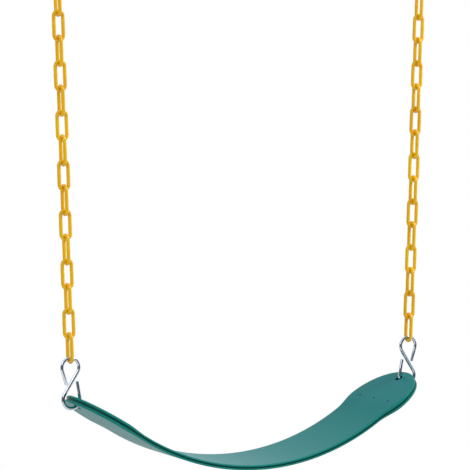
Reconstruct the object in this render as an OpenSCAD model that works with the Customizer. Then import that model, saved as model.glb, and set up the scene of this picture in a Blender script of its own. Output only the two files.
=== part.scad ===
// Belt swing seat: a moulded strap with paddle ends, hung by open S-hooks from two plastic-dipped
// chains, each with a second S-hook at its top for the hanger of a swing frame.
// The origin is midway between the two hanger eyes, where the hangers carry the top hooks.
// X runs along the seat, Y from back to front, Z up. The rest pose hangs level and still.

/* [Belt] */
// Length of the belt along its curve, from tip to tip
belt_length = 650; // [540:5:780]
// Width across the paddle ends, which are half round
end_width = 140; // [116:1:170]
// How much narrower the waist is than the ends, on each side
waist_inset = 8; // [2:0.5:14]
// Thickness of the waist
waist_thickness = 8; // [5:0.5:10]
// Thickness of the paddle ends
end_thickness = 11; // [9:0.5:14]
// Slope of the ends when the belt hangs unloaded
end_slope = 32; // [20:1:40]
// Length over which the waist widens and thickens into an end
flare_length = 42; // [30:1:60]

/* [Holes in the belt] */
// Diameter of the hole for a hook
hook_hole = 12; // [11:0.5:15]
// Distance from the tip to the middle of the hook hole
hook_hole_inset = 17; // [14:0.5:20]
// Diameter of the blind moulding-pin holes in the upper face
pin_hole = 3.5; // [2:0.5:5]
// Depth of the blind holes
pin_depth = 5; // [2:0.5:6]
// Distance between neighbouring blind holes
pin_spacing = 42; // [30:1:46]
// Number of blind holes in a row
pins = 3; // [1:2:3]
// Distance from the tip to the row of blind holes
pin_inset = 72; // [60:1:80]

/* [S-hooks] */
// Diameter of the hook wire
hook_wire = 5.4; // [4:0.2:6]
// Width inside a hook's loop
hook_eye = 22.2; // [20:0.2:26]
// Distance between the middles of a hook's two loops
hook_centres = 48; // [44:1:56]
// How far the leg that is pinched shut leans towards the shank
pinched_lean = 15; // [8:1:16]
// Length of the straight part of the pinched leg
pinched_leg = 22.5; // [16:0.5:23]
// How far the leg that is only set leans towards the shank
set_lean = 8; // [0:1:10]
// Length of the straight part of the set leg
set_leg = 25; // [16:0.5:26]

/* [Chain] */
// Number of links in each chain, an odd number so that both hooks lie the same way
links = 17; // [3:2:17]
// Length inside a coated link
link_inside = 37; // [30:0.5:44]
// Width inside a coated link
link_gap = 9.2; // [8.6:0.2:12]
// Diameter of the steel inside a link
link_steel = 4; // [3:0.2:4.4]
// Thickness of the plastic coating on a link
link_coat = 0.8; // [0.4:0.1:1]

/* [Fit] */
// Distance between the two hangers that the top hooks go on
hanger_spacing = 640; // [600:5:720]
// Clearance between pieces that hang in each other
hang_gap = 0.3; // [0.2:0.05:0.5]
// Clearance between a hook and the rims of its hole in the belt, which tilts round it
hole_gap = 0.6; // [0.4:0.05:0.8]
// Clearance between the steel of a link and its coating
coat_gap = 0.05; // [0.02:0.01:0.1]

/* [Hidden] */
$fn = 64;
flare_steps = 12; // flats along one side of a flare
cut = 1;          // how far a cutting solid runs past the face that it cuts
seam_step = 0.02; // step all round where two stretches of one piece join
seam_reach = 0.3; // how far the smaller stretch reaches into the larger, so that they join cleanly
sides = ["left", "right"];
numbers = [for (i = [1:links]) str(i < 10 ? "0" : "", i)];

// Belt: an arc of the waist with a straight end plate on each side
end_r = end_width / 2;
waist_width = end_width - 2 * waist_inset;
end_length = end_r + flare_length;
sag_length = belt_length / 2 - end_length;
sag_radius = sag_length / (end_slope * PI / 180);
plate_start_x = sag_radius * sin(end_slope);
plate_start_z = sag_radius * (1 - cos(end_slope));

// Place on the middle plane of an end plate, from the lowest point of the belt
function plate_x(along) = plate_start_x + along * cos(end_slope);
function plate_z(along) = plate_start_z + along * sin(end_slope);

// S-hook: two loops joined by a straight shank that touches both
hook_r = hook_wire / 2;
loop_r = (hook_eye + hook_wire) / 2;
loop_z = hook_centres / 2;
shank_lean = asin(loop_r / loop_z);
shank_length = 2 * sqrt(loop_z ^ 2 - loop_r ^ 2);
hook_span = hook_centres + 2 * loop_r;

// The hook's lower loop touches both rims of the hole on the side towards the belt's tip,
// so the loop's middle lies on the plate's middle plane, this far beyond the hole
rim_reach = hook_eye / 2 - hole_gap;
loop_beyond_hole = hook_hole / 2 + sqrt(rim_reach ^ 2 - (end_thickness / 2) ^ 2);

// Link: measured between the middles of its wires
link_wire = link_steel + 2 * link_coat;
link_bend_r = (link_gap + link_wire) / 2;
link_length = link_inside + link_wire;
link_straight = link_length - 2 * link_bend_r;
hook_to_link = hook_r + link_wire / 2 + hang_gap;
pitch = link_length - link_wire - hang_gap;

// Distances down a chain, from the hanger eye
top_hook_s = -hook_r + hook_span / 2;
first_link_s = top_hook_s + hook_span / 2 - hook_to_link + link_length / 2;
last_link_s = first_link_s + (links - 1) * pitch;
low_hook_s = last_link_s + link_length / 2 - hook_to_link + hook_span / 2;
low_loop_s = low_hook_s + loop_z;

// The chains run out to the hangers from the loops that hold the belt
low_loop_x = plate_x(end_length - hook_hole_inset + loop_beyond_hole);
splay = asin((hanger_spacing / 2 - low_loop_x) / low_loop_s);
belt_z = -low_loop_s * cos(splay) - plate_z(end_length - hook_hole_inset + loop_beyond_hole);

// Height of a point of a chain
function chain_z(s) = -s * cos(splay);

// Heights of the hinge axes, which all run along X: the hook's or the link's wire that lies
// across the axis, from the top hook down to the belt
hinge_z = concat(
    [chain_z(top_hook_s + hook_span / 2)],
    [for (i = [1:links - 1]) let (s = first_link_s + (i - 1) * pitch + link_length / 2)
        chain_z(i % 2 == 1 ? s - link_wire - hang_gap : s)],
    [chain_z(low_hook_s - hook_span / 2)],
    [chain_z(low_loop_s) - loop_r * sin(end_slope)]);

// Puts a child on a chain, at a distance down from the hanger eye, with +X outwards
module on_chain(side, s) {
    mirror([side == "left" ? 1 : 0, 0, 0])
        translate([hanger_spacing / 2, 0, 0])
            rotate([0, splay, 0])
                translate([0, 0, -s])
                    children();
}

// Puts a child on the end plate of a side, with +X towards the tip and +Z out of the upper face
module on_plate(side) {
    mirror([side == "left" ? 1 : 0, 0, 0])
        translate([plate_start_x, 0, belt_z + plate_start_z])
            rotate([0, -end_slope, 0])
                children();
}

// Bent stretch of wire in the XZ plane, from one angle to another, anticlockwise from +X
module wire_bend(r, bend_r, from, to, x = 0, z = 0) {
    translate([x, 0, z])
        rotate([90, 0, 0])
            rotate_extrude(angle = to - from, start = from)
                translate([bend_r, 0])
                    circle(r);
}

// Straight stretch of wire in the XZ plane, up from a point, leaning towards +X
module wire_run(r, length, x, z, lean) {
    translate([x, 0, z])
        rotate([0, lean, 0])
            cylinder(r = r, h = length);
}

// Straight run of hook wire, thinner by the step, that starts inside a bend and may end in another
module hook_run(length, x, z, lean, into_next = false) {
    translate([x, 0, z])
        rotate([0, lean, 0])
            translate([0, 0, -seam_reach])
                cylinder(r = hook_r - seam_step, h = length + seam_reach * (into_next ? 2 : 1));
}

// S-hook in the XZ plane, with the free leg of its upper loop on the +X side
module s_hook(upper_lean, upper_leg, lower_lean, lower_leg) {
    wire_bend(hook_r, loop_r, -upper_lean, 180 + shank_lean, z = loop_z);
    wire_bend(hook_r, loop_r, 180 - lower_lean, 360 + shank_lean, z = -loop_z);
    hook_run(shank_length, loop_r * cos(shank_lean), loop_r * sin(shank_lean) - loop_z,
        -shank_lean, into_next = true);
    hook_run(upper_leg, loop_r * cos(upper_lean), loop_z - loop_r * sin(upper_lean),
        180 + upper_lean);
    hook_run(lower_leg, -loop_r * cos(lower_lean), loop_r * sin(lower_lean) - loop_z,
        lower_lean);
}

// Closed link of round wire in the XZ plane, long along Z
module link_loop(r) {
    wire_bend(r, link_bend_r, 0, 180, z = link_straight / 2);
    wire_bend(r, link_bend_r, 180, 360, z = -link_straight / 2);
    for (x = [-link_bend_r, link_bend_r])
        wire_run(r, link_straight, x, -link_straight / 2, 0);
}

// Puts a child where a link hangs: odd links lie across the seat, even links along it
module at_link(side, i) {
    on_chain(side, first_link_s + (i - 1) * pitch)
        rotate([0, 0, i % 2 == 1 ? 90 : 0])
            children();
}

// Outline of an end plate from above, from the end of the sag to the tip
module end_outline() {
    start = waist_width / 2 + seam_step;
    flare = [for (k = [0:flare_steps])
        [flare_length * k / flare_steps,
         start + (end_r - start) * (1 - cos(180 * k / flare_steps)) / 2]];
    polygon(concat(flare, [for (k = [flare_steps:-1:0]) [flare[k].x, -flare[k].y]]));
    intersection() {
        translate([flare_length, 0]) circle(end_r);
        translate([flare_length, -end_r]) square([end_r, end_width]);
    }
}

// Side view of an end plate, which thickens along the flare
module end_side() {
    start = waist_thickness / 2 + seam_step;
    polygon([
        [0, -start],
        [flare_length, -end_thickness / 2],
        [end_length, -end_thickness / 2],
        [end_length, end_thickness / 2],
        [flare_length, end_thickness / 2],
        [0, start]]);
}

module end_plate() {
    difference() {
        intersection() {
            translate([0, 0, -end_thickness])
                linear_extrude(2 * end_thickness) end_outline();
            rotate([90, 0, 0])
                linear_extrude(end_width, center = true) end_side();
        }
        translate([end_length - hook_hole_inset, 0, 0])
            cylinder(d = hook_hole, h = end_thickness + 2 * cut, center = true);
        for (k = [0:pins - 1])
            translate([end_length - pin_inset, (k - (pins - 1) / 2) * pin_spacing,
                       end_thickness / 2 - pin_depth])
                cylinder(d = pin_hole, h = pin_depth + cut);
    }
}

// The sag reaches a little way into both end plates
module belt_seat() {
    half_angle = end_slope + seam_reach / sag_radius * 180 / PI;
    color("teal") {
        translate([0, 0, belt_z + sag_radius])
            rotate([90, 0, 0])
                rotate_extrude(angle = 2 * half_angle, start = 270 - half_angle)
                    translate([sag_radius - waist_thickness / 2, -waist_width / 2])
                        square([waist_thickness, waist_width]);
        for (side = sides) on_plate(side) end_plate();
    }
}

// Lower hook: the pinched leg holds the chain, and the set leg comes up through the belt
module seat_hook(side) {
    color("lightsteelblue")
        on_chain(side, low_hook_s)
            s_hook(pinched_lean, pinched_leg, set_lean, set_leg);
}

// Top hook: the same hook turned end for end, with the set leg round the hanger
module hanger_hook(side) {
    color("lightsteelblue")
        on_chain(side, top_hook_s)
            s_hook(set_lean, set_leg, pinched_lean, pinched_leg);
}

// Plastic coating of one link, hollow round its steel
module chain_link(side, i) {
    color("gold")
        at_link(side, i)
            difference() {
                link_loop(link_wire / 2);
                link_loop(link_steel / 2 + coat_gap);
            }
}

// Steel of the two links of one row, left and right
module link_core(i) {
    color("silver")
        for (side = sides) at_link(side, i) link_loop(link_steel / 2);
}

belt_seat();
for (side = sides) {
    seat_hook(side);
    hanger_hook(side);
    for (i = [1:links])
        chain_link(side, i);
}
for (i = [1:links])
    link_core(i);
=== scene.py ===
# %% [markdown]
# # A belt swing seat
# A belt swing is a moulded rubber strap that hangs from two chains. Open S-hooks join each
# end of the strap to its chain, and another S-hook at the top of each chain goes on the swing
# frame's hanger. The CAD model says where every piece is and how it moves, so this script
# starts by loading it, and then gives each piece its finished shape and surface.

# %% Load the frame
import math

import bmesh
import bpy
from mathutils import Matrix, Vector


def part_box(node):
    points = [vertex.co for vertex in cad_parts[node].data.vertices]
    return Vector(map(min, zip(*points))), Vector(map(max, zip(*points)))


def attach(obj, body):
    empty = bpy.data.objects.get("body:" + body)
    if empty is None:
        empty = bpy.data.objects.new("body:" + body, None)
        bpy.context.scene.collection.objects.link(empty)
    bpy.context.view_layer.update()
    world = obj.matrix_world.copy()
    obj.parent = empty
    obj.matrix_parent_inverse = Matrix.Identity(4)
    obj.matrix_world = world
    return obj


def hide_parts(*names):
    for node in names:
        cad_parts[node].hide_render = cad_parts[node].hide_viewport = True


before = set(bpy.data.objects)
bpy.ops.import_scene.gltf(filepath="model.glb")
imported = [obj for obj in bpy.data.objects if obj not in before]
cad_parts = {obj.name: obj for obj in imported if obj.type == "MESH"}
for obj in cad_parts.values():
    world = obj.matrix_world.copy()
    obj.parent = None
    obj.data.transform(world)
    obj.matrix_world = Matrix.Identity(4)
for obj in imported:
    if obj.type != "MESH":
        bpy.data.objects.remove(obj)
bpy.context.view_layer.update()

MM = 0.001

# %% [markdown]
# ## Where the chains run
# Both chains are straight lines that lean a little outwards towards their tops. Two links
# are enough to know such a line, so its lean, its top end and the spacing of the links are
# measured on the CAD links. Nothing is placed by eye, and the pieces follow the CAD if it
# changes.

# %% Measure a chain
SIDES = ("left", "right")
LINKS = sum(name.startswith("chain_link_left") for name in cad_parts)


def box_middle(node):
    """The middle of a CAD node's box."""
    low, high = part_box(node)
    return (low + high) / 2


first_link = box_middle("chain_link_right_01")
last_link = box_middle(f"chain_link_right_{LINKS:02d}")
splay = math.atan2(first_link.x - last_link.x, first_link.z - last_link.z)
eye_x = first_link.x - first_link.z * math.tan(splay)
first_link_s = -first_link.z / math.cos(splay)
pitch = (last_link - first_link).length / (LINKS - 1)
lean = math.degrees(splay)
print(f"{LINKS} links a chain, {pitch / MM:.2f} mm apart, leaning {lean:.2f} degrees")


def on_chain(side, s):
    """The place on a side's chain that is s metres down from the hanger eye."""
    half_turn = Matrix.Rotation(math.pi if side == "left" else 0, 4, "Z")
    lean = Matrix.Rotation(splay, 4, "Y")
    return half_turn @ Matrix.Translation((eye_x, 0, 0)) @ lean @ Matrix.Translation((0, 0, -s))


# %% [markdown]
# ## Colours and shared effects
# Colours are easiest to choose as the 0 to 255 values of a screen, but shaders calculate with
# linear light, so a small function converts them. Two effects are used on several materials:
# a grain, which is the fine unevenness of every moulded, dipped or plated surface, and
# handling marks, the faint streaks of use. Each is built once as a node group, and every
# material puts it in with its own scale.

# %% Helpers for nodes
def screen_colour(red, green, blue):
    """A linear colour from screen values of 0 to 255."""
    def linear(value):
        """A screen value as linear light."""
        share = value / 255
        return share / 12.92 if share <= 0.04045 else ((share + 0.055) / 1.055) ** 2.4
    return (linear(red), linear(green), linear(blue), 1)


def add_node(tree, kind, **values):
    """A new shader node with values for its sockets, whose spaces are written as _."""
    node = tree.nodes.new("ShaderNode" + kind)
    for name, value in values.items():
        node.inputs[name.replace("_", " ")].default_value = value
    return node


def blend_colours(tree, factor, colour, other):
    """Colour output that goes from one colour to the other as the factor goes from 0 to 1."""
    node = tree.nodes.new("ShaderNodeMix")
    node.data_type = "RGBA"
    tree.links.new(factor, node.inputs[0])
    for socket, value in ((node.inputs[6], colour), (node.inputs[7], other)):
        if isinstance(value, bpy.types.NodeSocket):
            tree.links.new(value, socket)
        else:
            socket.default_value = value
    return node.outputs[2]


def spread(tree, value, low, high, start=0.0, end=1.0):
    """Float output that moves value's range from start to end onto low to high."""
    node = tree.nodes.new("ShaderNodeMapRange")
    tree.links.new(value, node.inputs[0])
    for socket, number in zip(list(node.inputs)[1:5], (start, end, low, high)):
        socket.default_value = number
    return node.outputs[0]


# %% Node groups for grain and handling marks
def new_group(name, outputs):
    """A shader node group that takes a Vector and a Scale."""
    group = bpy.data.node_groups.new(name, "ShaderNodeTree")
    group.interface.new_socket("Vector", in_out="INPUT", socket_type="NodeSocketVector")
    group.interface.new_socket("Scale", in_out="INPUT", socket_type="NodeSocketFloat")
    for output in outputs:
        group.interface.new_socket(output, in_out="OUTPUT", socket_type="NodeSocketFloat")
    entry = group.nodes.new("NodeGroupInput")
    scaled = group.nodes.new("ShaderNodeVectorMath")
    scaled.operation = "SCALE"
    group.links.new(entry.outputs["Vector"], scaled.inputs[0])
    group.links.new(entry.outputs["Scale"], scaled.inputs["Scale"])
    return group, scaled.outputs[0], group.nodes.new("NodeGroupOutput")


def group_noise(group, vector, scale, detail):
    """Noise in a group, as a float output."""
    noise = add_node(group, "TexNoise", Scale=scale, Detail=detail)
    group.links.new(vector, noise.inputs["Vector"])
    return noise.outputs[0]


PATCH_SCALE = 0.03  # patches are this much coarser than the grain
grain_group, grain_vector, grain_exit = new_group("grain", ("Height", "Patches"))
fine = group_noise(grain_group, grain_vector, 1.0, 4.0)
broad = group_noise(grain_group, grain_vector, PATCH_SCALE, 3.0)
patches = spread(grain_group, broad, 0, 1, 0.35, 0.65)
grain_group.links.new(fine, grain_exit.inputs["Height"])
grain_group.links.new(patches, grain_exit.inputs["Patches"])

marks_group, marks_vector, marks_exit = new_group("handling_marks", ("Mask",))
streaks = spread(marks_group, group_noise(marks_group, marks_vector, 1.0, 5.0), 0, 1, 0.56, 0.74)
marks_group.links.new(streaks, marks_exit.inputs["Mask"])
print("node groups:", [group.name for group in (grain_group, marks_group)])


def place_group(tree, group, vector, scale):
    """A group node in a material, with a coordinate and a scale."""
    node = tree.nodes.new("ShaderNodeGroup")
    node.node_tree = group
    tree.links.new(vector, node.inputs["Vector"])
    node.inputs["Scale"].default_value = scale
    return node


def stretched(tree, vector, scale):
    """A coordinate that is scaled by a different number along each axis."""
    mapping = tree.nodes.new("ShaderNodeMapping")
    mapping.inputs["Scale"].default_value = scale
    tree.links.new(vector, mapping.inputs["Vector"])
    return mapping.outputs[0]


def new_material(name):
    """A material with only its Principled shader, returned with its tree and shader."""
    material = bpy.data.materials.new(name)
    material.use_nodes = True
    return material, material.node_tree, material.node_tree.nodes["Principled BSDF"]


def add_relief(tree, shader, height, depth, strength):
    """Feeds a height to the shader's normal."""
    bump = add_node(tree, "Bump", Strength=strength, Distance=depth)
    tree.links.new(height, bump.inputs["Height"])
    tree.links.new(bump.outputs[0], shader.inputs["Normal"])


# %% [markdown]
# ## Moulded rubber of the belt
# The belt is injection moulded in one deep teal that goes through the whole piece. Its skin
# is satin: a very fine grain, slightly cloudy where the mould filled, rubbed greener along its
# rim, where a painted highlight is added too, painted dark as shade in the groove and the holes,
# and faintly streaked lengthwise by use. The pattern has to follow the belt and not the room,
# so it reads an attribute that holds where each point was before the belt was bent.

# %% Belt material
FLAT = "laid_flat"
RIM = "rim"
RECESS = "recess"
BELT_GRAIN = 1500
BELT_STREAKS = 260


def belt_material():
    """Teal rubber whose pattern follows the belt laid flat."""
    material, tree, shader = new_material("moulded_belt_rubber")
    flat = tree.nodes.new("ShaderNodeAttribute")
    flat.attribute_name = FLAT
    rim = tree.nodes.new("ShaderNodeAttribute")
    rim.attribute_name = RIM
    recess = tree.nodes.new("ShaderNodeAttribute")
    recess.attribute_name = RECESS
    grain = place_group(tree, grain_group, flat.outputs["Vector"], BELT_GRAIN)
    along = stretched(tree, flat.outputs["Vector"], (0.12, 1, 1))
    marks = place_group(tree, marks_group, along, BELT_STREAKS)
    body = blend_colours(tree, grain.outputs["Patches"],
                         screen_colour(20, 124, 128), screen_colour(27, 134, 138))
    used = blend_colours(tree, spread(tree, marks.outputs["Mask"], 0, 0.16),
                         body, screen_colour(84, 146, 144))
    # Partly wear and partly painted highlight: the rim is painted a lighter, greener teal.
    rim_rubbed_and_highlit = blend_colours(tree, spread(tree, rim.outputs["Fac"], 0, 0.45),
                           used, screen_colour(26, 140, 108))
    # Painted shade: the groove and the insides of the holes are painted a dark green-black.
    recess_shaded = blend_colours(tree, spread(tree, recess.outputs["Fac"], 0, 0.75),
                          rim_rubbed_and_highlit, screen_colour(8, 40, 34))
    tree.links.new(recess_shaded, shader.inputs["Base Color"])
    tree.links.new(spread(tree, grain.outputs["Patches"], 0.3, 0.38), shader.inputs["Roughness"])
    shader.inputs["Specular IOR Level"].default_value = 0.07
    add_relief(tree, shader, grain.outputs["Height"], 0.12 * MM, 0.35)
    return material


belt_rubber = belt_material()
print("made", belt_rubber.name)

# %% [markdown]
# ## Dipped plastic of the links
# Playground chain is dipped in hot liquid plastic so that no finger meets bare steel. The
# coat is thick, smooth and glossy, with the soft dimples of a dipped surface. Its yellow is
# warmer where the coat is thick, and dull where hands hold it.

# %% Link materials
LINK_GRAIN = 420
LINK_MARKS = 300
WIRE_GRAIN = 1600


def object_coordinates(tree):
    """The place on the object as it is modelled."""
    return tree.nodes.new("ShaderNodeTexCoord").outputs["Object"]


def link_material():
    """Glossy yellow plastic with soft dimples."""
    material, tree, shader = new_material("dipped_yellow_plastic")
    place = object_coordinates(tree)
    grain = place_group(tree, grain_group, place, LINK_GRAIN)
    marks = place_group(tree, marks_group, place, LINK_MARKS)
    coat = blend_colours(tree, grain.outputs["Patches"],
                         screen_colour(255, 204, 0), screen_colour(248, 186, 0))
    handled = blend_colours(tree, spread(tree, marks.outputs["Mask"], 0, 0.2),
                            coat, screen_colour(222, 160, 6))
    tree.links.new(handled, shader.inputs["Base Color"])
    tree.links.new(spread(tree, marks.outputs["Mask"], 0.14, 0.24), shader.inputs["Roughness"])
    add_relief(tree, shader, grain.outputs["Height"], 0.1 * MM, 0.05)
    return material


def metal_material(name, colour, dull_colour, low_roughness, high_roughness):
    """Bare or plated wire: fine lines run along it from the drawing die."""
    material, tree, shader = new_material(name)
    drawn = stretched(tree, object_coordinates(tree), (1, 1, 0.08))
    grain = place_group(tree, grain_group, drawn, WIRE_GRAIN)
    skin = blend_colours(tree, grain.outputs["Patches"], colour, dull_colour)
    tree.links.new(skin, shader.inputs["Base Color"])
    tree.links.new(spread(tree, grain.outputs["Patches"], low_roughness, high_roughness),
                   shader.inputs["Roughness"])
    shader.inputs["Metallic"].default_value = 1
    add_relief(tree, shader, grain.outputs["Height"], 0.02 * MM, 0.05)
    return material


link_plastic = link_material()
link_steel = metal_material("drawn_link_steel", screen_colour(150, 150, 152),
                            screen_colour(112, 112, 116), 0.3, 0.45)
hook_zinc = metal_material("bright_zinc_plate", screen_colour(222, 226, 232),
                           screen_colour(200, 206, 216), 0.08, 0.15)
print("made", link_plastic.name, link_steel.name, hook_zinc.name)

# %% [markdown]
# ## Wire, swept by extruding a ring
# Links and hooks are both round wire, bent in one plane. A curve with a bevel could make
# them, but here the wire is built as a bender works: a ring of edges is extruded straight
# ahead for a run, and extruded and turned in small steps about a centre for a bend. The mesh
# then has its rings exactly where the wire bends and nowhere else.

# %% Helpers for wire
WIRE_SIDES = 24
WELD = 0.01 * MM
SHARP = math.radians(32)


def start_wire(bm, radius, place):
    """A ring of wire in the plane across place's Z axis."""
    return bmesh.ops.create_circle(bm, segments=WIRE_SIDES, radius=radius, matrix=place)["verts"]


def extrude_ring(bm, ring):
    """A new ring on the spot, joined to the last one."""
    corners = set(ring)
    edges = [edge for edge in bm.edges if corners.issuperset(edge.verts)]
    made = bmesh.ops.extrude_edge_only(bm, edges=edges)["geom"]
    return [part for part in made if isinstance(part, bmesh.types.BMVert)]


def run_wire(bm, ring, way):
    """A straight run of wire."""
    ring = extrude_ring(bm, ring)
    bmesh.ops.translate(bm, vec=way, verts=ring)
    return ring


def bend_wire(bm, ring, centre, angle, steps):
    """A bend in the XZ plane: a positive angle turns up towards +X."""
    turn = Matrix.Rotation(angle / steps, 3, "Y")
    for _ in range(steps):
        ring = extrude_ring(bm, ring)
        bmesh.ops.rotate(bm, cent=centre, matrix=turn, verts=ring)
    return ring


def close_mesh(bm, name):
    """Welds a finished bmesh, turns its faces outwards and returns it as a smooth mesh."""
    bmesh.ops.remove_doubles(bm, verts=bm.verts[:], dist=WELD)
    bmesh.ops.recalc_face_normals(bm, faces=bm.faces[:])
    mesh = bpy.data.meshes.new(name)
    bm.to_mesh(mesh)
    bm.free()
    mesh.shade_smooth()
    mesh.set_sharp_from_angle(angle=SHARP)
    return mesh


def place_piece(name, mesh, material, body, node):
    """Shows a mesh in place of a CAD node, moving with that node's body."""
    piece = bpy.data.objects.new(name, mesh)
    bpy.context.scene.collection.objects.link(piece)
    mesh.materials.append(material)
    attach(piece, body)
    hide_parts(node)
    return piece


# %% [markdown]
# ## Chain links
# A link is bent from one length of wire and welded shut in the middle of one leg, which
# leaves a small swelling under the coat. All links are alike, so one is modelled at the
# origin and copied. Each copy's mesh is moved to its place, every other one a quarter turn
# round, and the object itself stays at the origin as the frame asks.

# %% Model one link
HANG_GAP = 0.3 * MM
LINK_WIRE = 5.6 * MM
LINK_BEND = 7.4 * MM
LINK_STRAIGHT = 27.8 * MM
WELD_SWELL = 0.08
WELD_LENGTH = 2.2 * MM
LEG_RINGS = 14
LINK_BEND_STEPS = 16


def swell(z):
    """How much thicker the wire is at a height on the welded leg."""
    return 1 + WELD_SWELL * math.exp(-(z / WELD_LENGTH) ** 2)


def link_mesh():
    """A link in the XZ plane, long along Z, with its weld on the +X leg."""
    bm = bmesh.new()
    low = -LINK_STRAIGHT / 2
    ring = start_wire(bm, LINK_WIRE / 2, Matrix.Translation((LINK_BEND, 0, low)))
    rise = LINK_STRAIGHT / LEG_RINGS
    for step in range(LEG_RINGS):
        ring = run_wire(bm, ring, (0, 0, rise))
        z = low + rise * (step + 1)
        factor = swell(z) / swell(z - rise)
        bmesh.ops.scale(bm, vec=(factor, factor, 1), verts=ring,
                        space=Matrix.Translation((-LINK_BEND, 0, -z)))
    ring = bend_wire(bm, ring, (0, 0, -low), -math.pi, LINK_BEND_STEPS)
    ring = run_wire(bm, ring, (0, 0, -LINK_STRAIGHT))
    bend_wire(bm, ring, (0, 0, low), -math.pi, LINK_BEND_STEPS)
    return close_mesh(bm, "link")


# %% Hang the links
one_link = link_mesh()
print("one link:", len(one_link.vertices), "points,", len(one_link.polygons), "faces")
for number in range(1, LINKS + 1):
    quarter_turn = Matrix.Rotation(math.pi / 2 if number % 2 else 0, 4, "Z")
    for side in SIDES:
        mesh = one_link.copy()
        mesh.transform(on_chain(side, first_link_s + (number - 1) * pitch) @ quarter_turn)
        place_piece(f"dipped_link_{side}_{number:02d}", mesh, link_plastic,
                    f"links_{number:02d}", f"chain_link_{side}_{number:02d}")
    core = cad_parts[f"link_core_{number:02d}"]
    core.data.materials.clear()
    core.data.materials.append(link_steel)
bpy.data.meshes.remove(one_link)

# %% [markdown]
# ## S-hooks
# A hook is cut from bright zinc-plated wire and bent both ways into an S. The leg that
# closes on the chain is pinched in until it nearly meets the shank, and the other leg is only
# set a little inwards, because it has to go through the belt or over the hanger. The same
# function bends both, with the two leans and leg lengths the other way round for the top
# hooks. The cut ends are flat with a small worn edge, made by a bevel.

# %% Bend a hook
HOOK_WIRE = 5.4 * MM
LOOP_R = 13.8 * MM
LOOP_Z = 24 * MM
PINCHED = (math.radians(15), 22.5 * MM)
SET = (math.radians(8), 25 * MM)
CUT_EDGE = 0.5 * MM
BEND_STEPS = 32
shank_lean = math.asin(LOOP_R / LOOP_Z)
shank_length = 2 * math.sqrt(LOOP_Z ** 2 - LOOP_R ** 2)


def leaning(angle, length):
    """A step in the XZ plane, up and leaning towards +X."""
    return Vector((math.sin(angle), 0, math.cos(angle))) * length


def hook_mesh(upper, lower):
    """An S-hook in the XZ plane. upper and lower are each a free leg's lean and length."""
    bm = bmesh.new()
    upper_lean, upper_leg = upper
    lower_lean, lower_leg = lower
    top = Vector((0, 0, LOOP_Z))
    bend_end = top + LOOP_R * Vector((math.cos(upper_lean), 0, -math.sin(upper_lean)))
    tip = Matrix.Translation(bend_end - leaning(upper_lean, upper_leg))
    ring = start_wire(bm, HOOK_WIRE / 2, tip @ Matrix.Rotation(upper_lean, 4, "Y"))
    ring = run_wire(bm, ring, leaning(upper_lean, upper_leg))
    ring = bend_wire(bm, ring, top, -(math.pi + shank_lean + upper_lean), BEND_STEPS)
    ring = run_wire(bm, ring, leaning(math.pi - shank_lean, shank_length))
    ring = bend_wire(bm, ring, -top, math.pi + shank_lean + lower_lean, BEND_STEPS)
    run_wire(bm, ring, leaning(lower_lean, lower_leg))
    cut_ends = [edge for edge in bm.edges if edge.is_boundary]
    bmesh.ops.holes_fill(bm, edges=cut_ends, sides=0)
    bmesh.ops.bevel(bm, geom=cut_ends, offset=CUT_EDGE, offset_type="OFFSET", segments=3,
                    profile=0.5, affect="EDGES", material=-1)
    return close_mesh(bm, "hook")


# %% Hang the hooks
hook_half = LOOP_Z + LOOP_R
link_half = LINK_STRAIGHT / 2 + LINK_BEND
overlap = HOOK_WIRE / 2 + LINK_WIRE / 2 + HANG_GAP
top_hook_s = first_link_s - link_half - hook_half + overlap
low_hook_s = first_link_s + (LINKS - 1) * pitch + link_half + hook_half - overlap
for side in SIDES:
    for name, s, legs, body, node in (
            ("top_hook", top_hook_s, (SET, PINCHED), "hangers", "hanger_hook"),
            ("seat_hook", low_hook_s, (PINCHED, SET), "seat_hooks", "seat_hook")):
        mesh = hook_mesh(*legs)
        mesh.transform(on_chain(side, s))
        hook = place_piece(f"zinc_{name}_{side}", mesh, hook_zinc, body, f"{node}_{side}")
        print(hook.name, len(mesh.polygons), "faces")

# %% [markdown]
# ## The belt
# The belt is a strap with round paddle ends, a little thicker there than in its waist. Its
# rim is moulded with a rounded corner above and below and a groove between them, so
# that it has two beads all round. It is modelled as it comes out of the mould, flat: the
# outline is filled and extruded, the groove is inset, and the corners are bevelled. A ring
# inset next to each corner keeps the wide faces flat in shading.

# %% Sizes of the belt
BELT_LENGTH = 650 * MM
END_WIDTH = 140 * MM
WAIST_WIDTH = 124 * MM
WAIST_THICKNESS = 8 * MM
END_THICKNESS = 11 * MM
END_SLOPE = math.radians(32)
FLARE = 42 * MM
CORNER = 2.2 * MM
GROOVE_HALF = 2.2 * MM
GROOVE_DEPTH = 1.6 * MM
GROOVE_SLOPE = 0.9 * MM
GROOVE_LIP = 0.35 * MM
FLAT_MARGIN = 1.2 * MM
TINY = 0.001 * MM
end_r = END_WIDTH / 2
sag_length = BELT_LENGTH / 2 - end_r - FLARE
sag_radius = sag_length / END_SLOPE
belt_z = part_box("belt_seat")[0].z + WAIST_THICKNESS / 2
print(f"belt hangs at {belt_z:.4f} m and bends to a radius of {sag_radius / MM:.0f} mm")


def flared(along):
    """0 in the sag, rising smoothly to 1 over the flare."""
    share = min(max((along - sag_length) / FLARE, 0), 1)
    return (1 - math.cos(math.pi * share)) / 2


def half_width(along):
    """Half the belt's width at a distance from its middle, up to the end of the flare."""
    return WAIST_WIDTH / 2 + (END_WIDTH - WAIST_WIDTH) / 2 * flared(along)


FLARE_STEPS = 12
TIP_STEPS = 48


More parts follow.
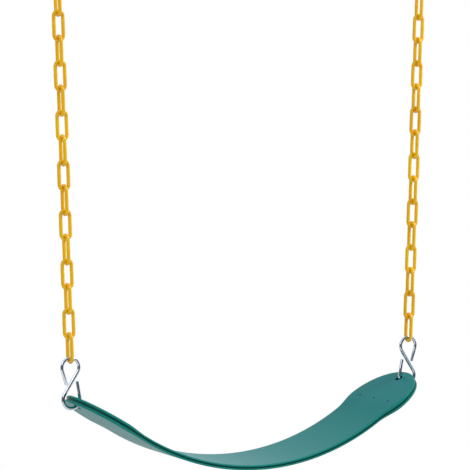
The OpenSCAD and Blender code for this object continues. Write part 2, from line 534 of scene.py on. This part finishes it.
def end_outline():
    """Points of one end's outline, from its flare on one side round the tip to the other."""
    tip_middle = sag_length + FLARE
    side = [sag_length + FLARE * step / FLARE_STEPS for step in range(FLARE_STEPS + 1)]
    tip = [math.pi / 2 - math.pi * step / TIP_STEPS for step in range(1, TIP_STEPS)]
    return ([(x, half_width(x)) for x in side]
            + [(tip_middle + end_r * math.cos(turn), end_r * math.sin(turn)) for turn in tip]
            + [(x, -half_width(x)) for x in reversed(side)])


# %% Mould the flat belt
def level_edges(bm, height):
    """Edges that lie level at a height above or below the middle plane."""
    return [edge for edge in bm.edges
            if all(abs(abs(vert.co.z) - height) < TINY for vert in edge.verts)
            and abs(edge.verts[0].co.z - edge.verts[1].co.z) < TINY]


def round_edges(bm, edges, offset, segments):
    """Bevels edges to a round."""
    bmesh.ops.bevel(bm, geom=edges, offset=offset, offset_type="OFFSET", segments=segments,
                    profile=0.5, affect="EDGES", material=-1)


def cut_across(bm, point, normal):
    """Cuts every face where a plane crosses it, and keeps both sides."""
    bmesh.ops.bisect_plane(bm, geom=bm.verts[:] + bm.edges[:] + bm.faces[:], dist=TINY,
                           plane_co=point, plane_no=normal)


SAG_CUTS = 36
CORNER_SEGMENTS = 5
LIP_SEGMENTS = 2


def flat_belt():
    """The belt as moulded, without its holes, cut across wherever it will bend."""
    bm = bmesh.new()
    one_end = end_outline()
    outline = one_end + [(-x, -y) for x, y in one_end]
    base = bm.faces.new([bm.verts.new((x, y, -END_THICKNESS / 2)) for x, y in outline])
    made = bmesh.ops.extrude_face_region(bm, geom=[base])["geom"]
    top = [part for part in made if isinstance(part, bmesh.types.BMVert)]
    bmesh.ops.translate(bm, vec=(0, 0, END_THICKNESS), verts=top)
    for height in (-GROOVE_HALF, GROOVE_HALF):
        cut_across(bm, (0, 0, height), (0, 0, 1))
    bmesh.ops.recalc_face_normals(bm, faces=bm.faces[:])
    groove = [face for face in bm.faces if abs(face.calc_center_median().z) < GROOVE_HALF / 2
              and abs(face.normal.z) < 0.5]
    bmesh.ops.inset_region(bm, faces=groove, thickness=GROOVE_SLOPE, depth=-GROOVE_DEPTH,
                           use_even_offset=True, use_boundary=True)
    round_edges(bm, level_edges(bm, END_THICKNESS / 2), CORNER, CORNER_SEGMENTS)
    round_edges(bm, level_edges(bm, GROOVE_HALF), GROOVE_LIP, LIP_SEGMENTS)
    bm.normal_update()
    wide = [face for face in bm.faces if len(face.verts) > len(outline) / 2]
    bmesh.ops.inset_region(bm, faces=wide, thickness=FLAT_MARGIN, depth=0, use_even_offset=True)
    for step in range(-SAG_CUTS, SAG_CUTS + 1):
        cut_across(bm, (sag_length * step / SAG_CUTS, 0, 0), (1, 0, 0))
    for step in range(1, FLARE_STEPS + 1):
        for way in (-1, 1):
            cut_across(bm, (way * (sag_length + FLARE * step / FLARE_STEPS), 0, 0), (1, 0, 0))
    open_edges = sum(not edge.is_manifold for edge in bm.edges)
    print("flat belt:", len(bm.faces), "faces,", open_edges, "open edges,", len(wide), "wide faces")
    return bm


# %% [markdown]
# The holes are cut while the belt is still flat, by a Boolean with solid cutters: through
# holes with a small countersink for the hooks, and the row of three blind holes that the
# mould's pins leave at each end. A cutter is a ring that is extruded down its profile, as a
# turned tool would be.

# %% Cut the holes
HOOK_HOLE = 12 * MM
HOOK_HOLE_INSET = 17 * MM
COUNTERSINK = 0.5 * MM
PIN_HOLE = 3.5 * MM
PIN_DEPTH = 5 * MM
PIN_INSET = 72 * MM
PIN_SPACING = 42 * MM
OVERCUT = 2 * MM
HOOK_HOLE_SIDES = 48
PIN_HOLE_SIDES = 24


def turned_cutter(bm, x, y, profile, sides):
    """A closed solid turned round a vertical line, from a profile of radius and height."""
    radius, height = profile[0]
    ring = bmesh.ops.create_circle(bm, segments=sides, radius=radius,
                                   matrix=Matrix.Translation((x, y, height)))["verts"]
    for next_radius, next_height in profile[1:]:
        ring = extrude_ring(bm, ring)
        bmesh.ops.translate(bm, vec=(0, 0, next_height - height), verts=ring)
        factor = next_radius / radius
        bmesh.ops.scale(bm, vec=(factor, factor, 1), verts=ring,
                        space=Matrix.Translation((-x, -y, 0)))
        radius, height = next_radius, next_height


def hole_cutters():
    """One mesh of cutters for every hole, at both ends of the flat belt."""
    bm = bmesh.new()
    top = END_THICKNESS / 2
    wide = HOOK_HOLE / 2 + COUNTERSINK
    narrow = HOOK_HOLE / 2
    through = [(wide, top + OVERCUT), (wide, top), (narrow, top - COUNTERSINK),
               (narrow, COUNTERSINK - top), (wide, -top), (wide, -top - OVERCUT)]
    blind = [(PIN_HOLE / 2, top + OVERCUT), (PIN_HOLE / 2, top - PIN_DEPTH)]
    for way in (-1, 1):
        turned_cutter(bm, way * (BELT_LENGTH / 2 - HOOK_HOLE_INSET), 0, through, HOOK_HOLE_SIDES)
        for row in (-1, 0, 1):
            turned_cutter(bm, way * (BELT_LENGTH / 2 - PIN_INSET), row * PIN_SPACING, blind,
                          PIN_HOLE_SIDES)
    bmesh.ops.holes_fill(bm, edges=[edge for edge in bm.edges if edge.is_boundary], sides=0)
    return close_mesh(bm, "cutters")


def cut_holes(mesh):
    """The mesh with the cutters taken out of it."""
    cutters = bpy.data.objects.new("cutters", hole_cutters())
    blank = bpy.data.objects.new("blank", mesh)
    for made in (cutters, blank):
        bpy.context.scene.collection.objects.link(made)
    boolean = blank.modifiers.new("holes", "BOOLEAN")
    boolean.object = cutters
    boolean.operation = "DIFFERENCE"
    boolean.solver = "EXACT"
    bpy.context.view_layer.update()
    seen = blank.evaluated_get(bpy.context.evaluated_depsgraph_get())
    cut_mesh = bpy.data.meshes.new_from_object(seen)
    for made in (cutters, blank):
        bpy.data.objects.remove(made)
    print("belt with holes:", len(cut_mesh.polygons), "faces")
    return cut_mesh


# %% [markdown]
# Then the belt is bent. Every point keeps its distance along the belt and across it, and is
# moved to where that distance comes on the curve: an arc through the sag and a straight plate
# at each end, as in the CAD. Its thickness is scaled from the end's to the waist's on the way.
# The flat place, the closeness to the rim and the recesses are kept as attributes for the
# material.

# %% Bend the belt
RIM_BAND = 5 * MM


def thickness(along):
    """The belt's thickness at a distance from its middle."""
    return WAIST_THICKNESS + (END_THICKNESS - WAIST_THICKNESS) * flared(along)


def hung(point):
    """Where a point of the flat belt hangs."""
    along = abs(point.x)
    up = point.z * thickness(along) / END_THICKNESS
    turn = min(along, sag_length) / sag_radius
    x = (sag_radius - up) * math.sin(turn)
    z = sag_radius - (sag_radius - up) * math.cos(turn)
    past = max(along - sag_length, 0)
    x += past * math.cos(turn)
    z += past * math.sin(turn)
    return Vector((math.copysign(x, point.x), point.y, belt_z + z))


def rim_share(point):
    """1 on the belt's rim, falling to 0 a band's width inside it."""
    past_flare = abs(point.x) - sag_length - FLARE
    if past_flare > 0:
        inside = end_r - math.hypot(past_flare, point.y)
    else:
        inside = half_width(abs(point.x)) - abs(point.y)
    return min(max(1 - inside / RIM_BAND, 0), 1)


def recess_share(point):
    """1 in the rim's groove and inside the holes, and 0 on the open faces and beads."""
    depth = GROOVE_HALF - GROOVE_LIP if rim_share(point) > 0 else END_THICKNESS / 2 - TINY
    return 1.0 if abs(point.z) < depth else 0.0


belt_mesh = cut_holes(close_mesh(flat_belt(), "belt"))
flat_points = [vert.co.copy() for vert in belt_mesh.vertices]
flat_layer = belt_mesh.attributes.new(FLAT, "FLOAT_VECTOR", "POINT")
rim_layer = belt_mesh.attributes.new(RIM, "FLOAT", "POINT")
recess_layer = belt_mesh.attributes.new(RECESS, "FLOAT", "POINT")
for index, point in enumerate(flat_points):
    flat_layer.data[index].vector = point
    rim_layer.data[index].value = rim_share(point)
    recess_layer.data[index].value = recess_share(point)
    belt_mesh.vertices[index].co = hung(point)
belt_mesh.update()
belt_mesh.shade_smooth()
belt_mesh.set_sharp_from_angle(angle=SHARP)
belt_mesh.materials.clear()
place_piece("moulded_belt", belt_mesh, belt_rubber, "belt", "belt_seat")

# %% [markdown]
# ## Camera, floor and light
# The camera looks slightly down at the seat from its front left, through a long lens, so that
# both chains look nearly upright. Its way is built from two angles, and it is set back along it.
#
# The seat is shown against plain white. The floor is a pale sheet under the swing that fades
# to white away from it, which Light Path does for the rays that see it: its colour near the
# middle is still lit, so it holds the swing's shadow. The world is a soft grey light for the
# pieces and white where it is seen. Behind the camera the studio has two dark corners, which
# give bright metal something to show.

# %% Camera
LENS = 184.52
YAW = math.radians(28.48)
DROP = math.radians(3.98)
DISTANCE = 3.733
AIM_RIGHT = -0.0163
AIM_UP = 0.3508

ahead = math.cos(DROP)
forward = Vector((math.sin(YAW) * ahead, math.cos(YAW) * ahead, -math.sin(DROP)))
right = Vector((math.cos(YAW), -math.sin(YAW), 0))
up = right.cross(forward)
camera_data = bpy.data.cameras.new("camera")
camera_data.lens = LENS
camera_data.clip_end = 100
camera = bpy.data.objects.new("camera", camera_data)
bpy.context.scene.collection.objects.link(camera)
seen_point = Vector((0, 0, belt_z)) + right * AIM_RIGHT + up * AIM_UP
place = Matrix((right, up, -forward)).transposed().to_4x4()
place.translation = seen_point - forward * DISTANCE
camera.matrix_world = place
bpy.context.scene.camera = camera
print(f"camera with a {LENS:.0f} mm lens, {DISTANCE:.2f} m away")


# %% World
def seen_rays(tree):
    """1 for rays that look: from the camera, off metal or through glass."""
    path = tree.nodes.new("ShaderNodeLightPath")
    total = path.outputs["Is Camera Ray"]
    for ray in ("Is Glossy Ray", "Is Transmission Ray"):
        larger = tree.nodes.new("ShaderNodeMath")
        larger.operation = "MAXIMUM"
        tree.links.new(total, larger.inputs[0])
        tree.links.new(path.outputs[ray], larger.inputs[1])
        total = larger.outputs[0]
    return total, path.outputs["Is Camera Ray"]


SOFT_LIGHT = 0.5
DARK_SIDE = 0.04
world = bpy.data.worlds.new("studio")
bpy.context.scene.world = world
world.use_nodes = True
tree = world.node_tree
tree.nodes.clear()
looking, from_camera = seen_rays(tree)
direction = tree.nodes.new("ShaderNodeTexCoord").outputs["Generated"]


def dark_corner(tree, angle, start, end):
    """Strength that falls to the dark side's, towards an angle right of the camera's back."""
    facing = tree.nodes.new("ShaderNodeVectorMath")
    facing.operation = "DOT_PRODUCT"
    facing.inputs[1].default_value = right * math.sin(angle) - forward * math.cos(angle)
    tree.links.new(direction, facing.inputs[0])
    return spread(tree, facing.outputs["Value"], 1, DARK_SIDE, start, end)


corners = tree.nodes.new("ShaderNodeMath")
corners.operation = "MINIMUM"
tree.links.new(dark_corner(tree, math.radians(40), 0.66, 0.8), corners.inputs[0])
tree.links.new(dark_corner(tree, math.radians(-48), 0.74, 0.86), corners.inputs[1])
dark = corners.outputs[0]
white = add_node(tree, "Background", Color=(1, 1, 1, 1), Strength=1)
room = add_node(tree, "Background", Color=(0.84, 0.94, 1, 1))
tree.links.new(dark, room.inputs["Strength"])
soft = add_node(tree, "Background", Color=(0.97, 0.985, 1, 1), Strength=SOFT_LIGHT)
looked_at = tree.nodes.new("ShaderNodeMixShader")
lit = tree.nodes.new("ShaderNodeMixShader")
world_exit = tree.nodes.new("ShaderNodeOutputWorld")
tree.links.new(from_camera, looked_at.inputs[0])
tree.links.new(room.outputs[0], looked_at.inputs[1])
tree.links.new(white.outputs[0], looked_at.inputs[2])
tree.links.new(looking, lit.inputs[0])
tree.links.new(soft.outputs[0], lit.inputs[1])
tree.links.new(looked_at.outputs[0], lit.inputs[2])
tree.links.new(lit.outputs[0], world_exit.inputs["Surface"])

# %% Floor
FLOOR_BELOW = 0.38
FLOOR_HALF = 1.6


FADE_START = 0.4
FADE_END = 1.5
NEAR_GLOW = 0.3


def floor_material():
    """Pale paint that fades to white for the rays that look at it."""
    material = bpy.data.materials.new("pale_floor")
    material.use_nodes = True
    tree = material.node_tree
    tree.nodes.clear()
    looking, _ = seen_rays(tree)
    away = tree.nodes.new("ShaderNodeVectorMath")
    away.operation = "LENGTH"
    flat = stretched(tree, object_coordinates(tree), (1, 1, 0))
    tree.links.new(flat, away.inputs[0])
    fade = tree.nodes.new("ShaderNodeMath")
    fade.operation = "MULTIPLY"
    glow_share = spread(tree, away.outputs["Value"], NEAR_GLOW, 1, FADE_START, FADE_END)
    tree.links.new(glow_share, fade.inputs[0])
    tree.links.new(looking, fade.inputs[1])
    paint = add_node(tree, "BsdfDiffuse", Color=(0.86, 0.86, 0.86, 1))
    glow = add_node(tree, "Emission", Color=(1, 1, 1, 1), Strength=1)
    both = tree.nodes.new("ShaderNodeMixShader")
    exit_node = tree.nodes.new("ShaderNodeOutputMaterial")
    tree.links.new(fade.outputs[0], both.inputs[0])
    tree.links.new(paint.outputs[0], both.inputs[1])
    tree.links.new(glow.outputs[0], both.inputs[2])
    tree.links.new(both.outputs[0], exit_node.inputs["Surface"])
    return material


bm = bmesh.new()
bmesh.ops.create_grid(bm, x_segments=8, y_segments=8, size=FLOOR_HALF)
bmesh.ops.translate(bm, vec=(0, 0, belt_z - FLOOR_BELOW), verts=bm.verts[:])
floor_mesh = bpy.data.meshes.new("floor")
bm.to_mesh(floor_mesh)
bm.free()
floor = bpy.data.objects.new("floor", floor_mesh)
floor_mesh.materials.append(floor_material())
bpy.context.scene.collection.objects.link(floor)


# %% Lamps
def softbox(name, way, distance, size, power):
    """A square area lamp that faces the middle of the swing."""
    lamp = bpy.data.lights.new(name, "AREA")
    lamp.size = size
    lamp.energy = power
    box = bpy.data.objects.new(name, lamp)
    middle = Vector((0, 0, belt_z / 2))
    way = Vector(way).normalized()
    box.location = middle + way * distance
    box.rotation_euler = way.to_track_quat("Z", "Y").to_euler()
    box.visible_camera = False
    bpy.context.scene.collection.objects.link(box)
    print(name, [round(value, 2) for value in box.location], power, "W")


softbox("key", (0.75, -0.55, 0.8), 2.8, 1.3, 46)
softbox("fill", (-0.9, -0.5, 0.35), 2.8, 1.2, 12)

# %% Picture settings
bpy.context.scene.view_settings.view_transform = "Standard"
